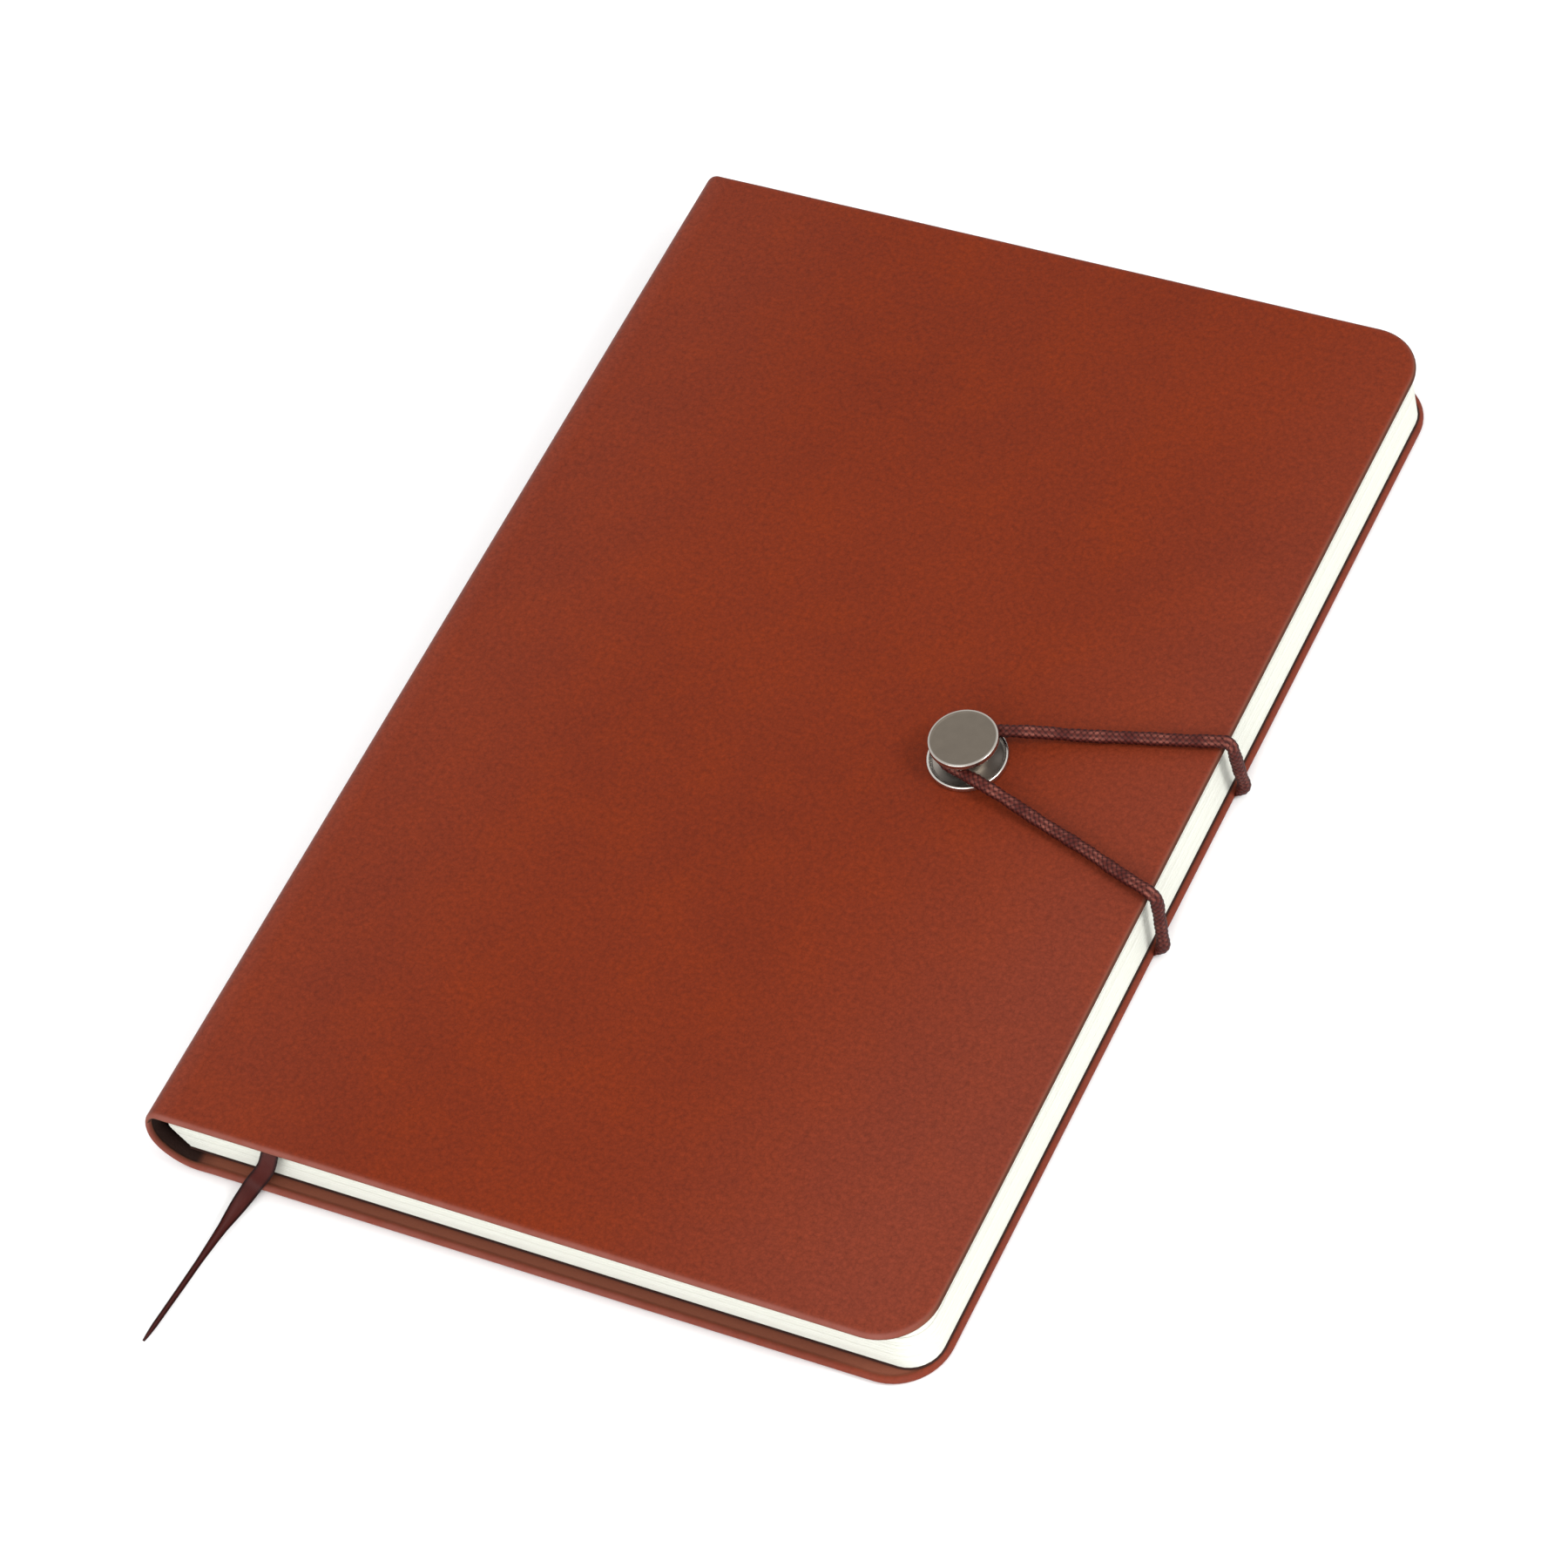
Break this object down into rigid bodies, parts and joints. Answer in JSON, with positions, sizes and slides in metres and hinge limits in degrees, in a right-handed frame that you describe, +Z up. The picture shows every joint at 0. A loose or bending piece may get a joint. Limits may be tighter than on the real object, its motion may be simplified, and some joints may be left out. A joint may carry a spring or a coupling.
{
  "type": "leather notebook cover",
  "caption": "Soft leather book cover with hollow spine, sewn paper sections, ribbon marker, and an elastic cord that loops round a riveted metal button to hold it shut.",
  "frame": {"origin": "middle of the back cover's flat underside, on the table", "axes": "+X from the spine to the fore-edge, +Y from the tail to the head, +Z up from the back cover to the front cover of the closed book"},
  "size_m": [0.1411, 0.2415, 0.0198],
  "materials": {
    "leather": "satin",
    "board": "matte",
    "paper": "matte",
    "cloth": "matte",
    "metal": "satin",
    "cord": "matte",
    "ribbon": "satin"
  },
  "bodies": {
    "back_cover": {"back_cover_leather": "leather", "back_cover_board": "board", "rear_pastedown": "paper", "rear_flyleaf": "paper", "section_10": "paper", "section_09": "paper", "section_08": "paper", "section_07": "paper", "section_06": "paper", "section_05": "paper", "section_04": "paper", "section_03": "paper", "spine_mull": "cloth", "cord_anchor_tail": "cord", "cord_anchor_head": "cord", "ribbon_inner": "ribbon"},
    "spine": {"spine_leather": "leather", "spine_stiffener": "board"},
    "front_cover": {"front_cover_leather": "leather", "front_cover_board": "board", "front_pastedown": "paper", "button_flange": "metal", "button_post": "metal", "button_cap": "metal", "button_washer": "metal"},
    "first_leaf": {"front_flyleaf": "paper"},
    "first_section": {"section_01": "paper"},
    "second_section": {"section_02": "paper"},
    "cord_riser": {"cord_riser_tail": "cord", "cord_riser_head": "cord"},
    "cord_end": {"cord_loop": "cord"},
    "ribbon_end": {"ribbon_tail": "ribbon"}
  },
  "joints": [
    {"name": "spine_hinge", "type": "hinge", "parent": "back_cover", "child": "spine", "pos_m": [-0.06946, 0, 0.00667], "axis": [0, -1, 0], "range_deg": [0, 120]},
    {"name": "front_cover_hinge", "type": "hinge", "parent": "spine", "child": "front_cover", "pos_m": [-0.066, 0, 0.014], "axis": [0, -1, 0], "range_deg": [0, 60]},
    {"name": "first_leaf_turn", "type": "hinge", "parent": "back_cover", "child": "first_leaf", "pos_m": [-0.067, 0, 0.01023], "axis": [0, -1, 0], "range_deg": [0, 179.8]},
    {"name": "first_section_turn", "type": "hinge", "parent": "back_cover", "child": "first_section", "pos_m": [-0.067, 0, 0.01023], "axis": [0, -1, 0], "range_deg": [0, 179.5]},
    {"name": "second_section_turn", "type": "hinge", "parent": "back_cover", "child": "second_section", "pos_m": [-0.067, 0, 0.01023], "axis": [0, -1, 0], "range_deg": [0, 178.5]},
    {"name": "cord_riser_swing", "type": "hinge", "parent": "back_cover", "child": "cord_riser", "pos_m": [0.0705, 0, 0.0013], "axis": [0, 1, 0], "range_deg": [0, 90], "deforming": ["cord_riser_tail", "cord_riser_head"]},
    {"name": "cord_loop_swing", "type": "hinge", "parent": "cord_riser", "child": "cord_end", "pos_m": [0.0705, 0, 0.0155], "axis": [0, 1, 0], "range_deg": [0, 84.5], "deforming": ["cord_loop"]},
    {"name": "ribbon_lift", "type": "hinge", "parent": "back_cover", "child": "ribbon_end", "pos_m": [-0.0509, -0.1055, 0.0021], "axis": [-1, 0, 0], "range_deg": [0, 70]}
  ],
  "couplings": [
    {"joint": "front_cover_hinge", "follows": "spine_hinge", "ratio": 0.5},
    {"joint": "first_leaf_turn", "follows": "spine_hinge", "ratio": 1.4975},
    {"joint": "first_section_turn", "follows": "spine_hinge", "ratio": 1.495},
    {"joint": "second_section_turn", "follows": "spine_hinge", "ratio": 1.485},
    {"joint": "cord_riser_swing", "follows": "spine_hinge", "ratio": 0.75},
    {"joint": "cord_loop_swing", "follows": "spine_hinge", "ratio": 0.7}
  ]
}
